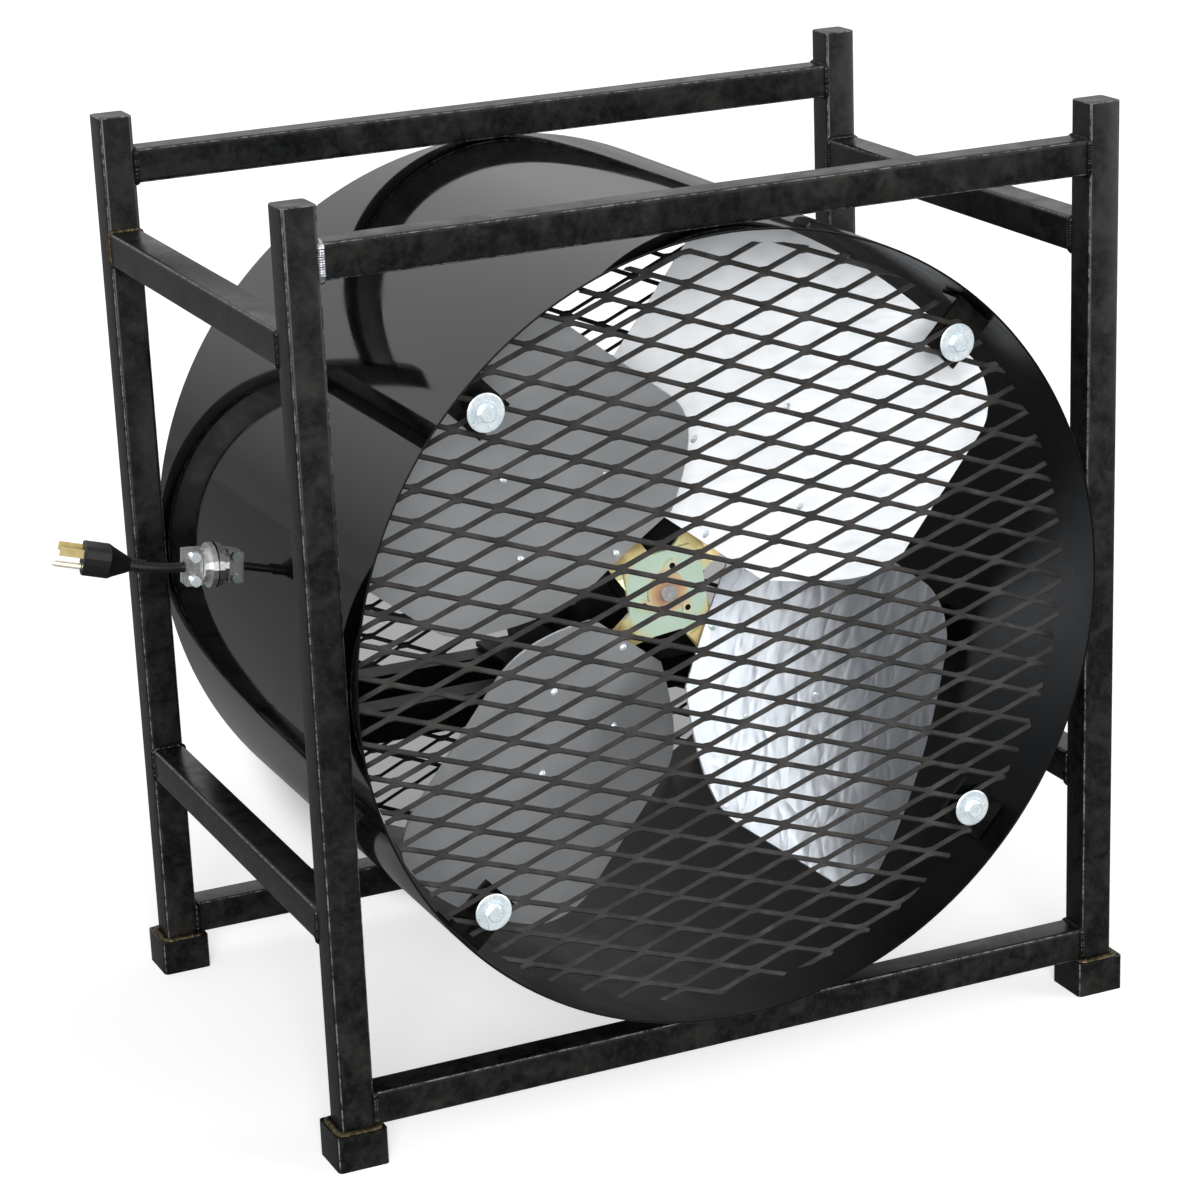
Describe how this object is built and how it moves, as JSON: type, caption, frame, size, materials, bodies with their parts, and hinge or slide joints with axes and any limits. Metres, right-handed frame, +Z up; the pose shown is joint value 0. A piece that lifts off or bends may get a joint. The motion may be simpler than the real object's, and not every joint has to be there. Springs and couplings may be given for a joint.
{
  "type": "drum fan",
  "caption": "Steel drum fan in a welded cage of square tube, with a pitched sheet-metal fan wheel on a motor inside, bolted expanded-metal guards and a short plug-ended cord.",
  "frame": {"origin": "On the floor, under the middle of the cage and drum taken together, without the cord and plug.", "axes": "+X to the right along the front, +Y from the front opening to the rear, +Z up. The fan turns about an axis along Y at the middle of the drum."},
  "size_m": [0.7229, 0.4308, 0.6791],
  "materials": {
    "cage_paint": "black semi-gloss enamel over welded square tube",
    "drum_paint": "high-gloss black enamel on rolled sheet",
    "mesh_paint": "satin black paint on raised expanded metal",
    "zinc_plate": "bright zinc plate with a bluish cast",
    "yellow_zinc": "yellow zinc dichromate, iridescent green and gold",
    "bare_aluminium": "mill-finish sheet with long faint creases",
    "copper_steel": "copper-flashed steel",
    "ground_steel": "ground and polished shaft steel",
    "motor_paint": "satin black enamel",
    "cord_rubber": "satin black flexible jacket and moulding",
    "brass": "bright drawn brass"
  },
  "bodies": {
    "cage": {"post_front_left": "cage_paint", "post_front_right": "cage_paint", "post_rear_left": "cage_paint", "post_rear_right": "cage_paint", "rail_top_front": "cage_paint", "rail_top_rear": "cage_paint", "rail_bottom_front": "cage_paint", "rail_bottom_rear": "cage_paint", "side_rail_upper_left": "cage_paint", "side_rail_upper_right": "cage_paint", "side_rail_lower_left": "cage_paint", "side_rail_lower_right": "cage_paint", "foot_front_left": "cage_paint", "foot_front_right": "cage_paint", "foot_rear_left": "cage_paint", "foot_rear_right": "cage_paint", "motor_support_front": "cage_paint", "motor_support_rear": "cage_paint", "tab_front_1": "cage_paint", "tab_front_2": "cage_paint", "tab_front_3": "cage_paint", "tab_front_4": "cage_paint", "tab_rear_1": "cage_paint", "tab_rear_2": "cage_paint", "tab_rear_3": "cage_paint", "tab_rear_4": "cage_paint", "drum_shell": "drum_paint", "grille_front": "mesh_paint", "grille_rear": "mesh_paint", "bolt_front_1": "zinc_plate", "bolt_front_2": "zinc_plate", "bolt_front_3": "zinc_plate", "bolt_front_4": "zinc_plate", "bolt_rear_1": "zinc_plate", "bolt_rear_2": "zinc_plate", "bolt_rear_3": "zinc_plate", "bolt_rear_4": "zinc_plate", "cord_connector": "zinc_plate", "connector_locknut": "zinc_plate", "clamp_saddle": "zinc_plate", "clamp_screw_1": "zinc_plate", "clamp_screw_2": "zinc_plate", "motor_shell": "motor_paint", "motor_bell_front": "motor_paint", "motor_bell_rear": "motor_paint", "motor_base": "motor_paint", "supply_cord": "cord_rubber", "plug_body": "cord_rubber", "plug_prong_1": "brass", "plug_prong_2": "brass", "plug_ground_pin": "brass"},
    "fan_wheel": {"motor_shaft": "ground_steel", "hub_bushing": "copper_steel", "fan_spider": "yellow_zinc", "blade_1": "bare_aluminium", "blade_2": "bare_aluminium", "blade_3": "bare_aluminium", "blade_4": "bare_aluminium"}
  },
  "joints": [
    {"name": "fan_spin", "type": "hinge", "parent": "cage", "child": "fan_wheel", "pos_m": [0, -0.1003, 0.3405], "axis": [0, 1, 0], "continuous": true}
  ]
}
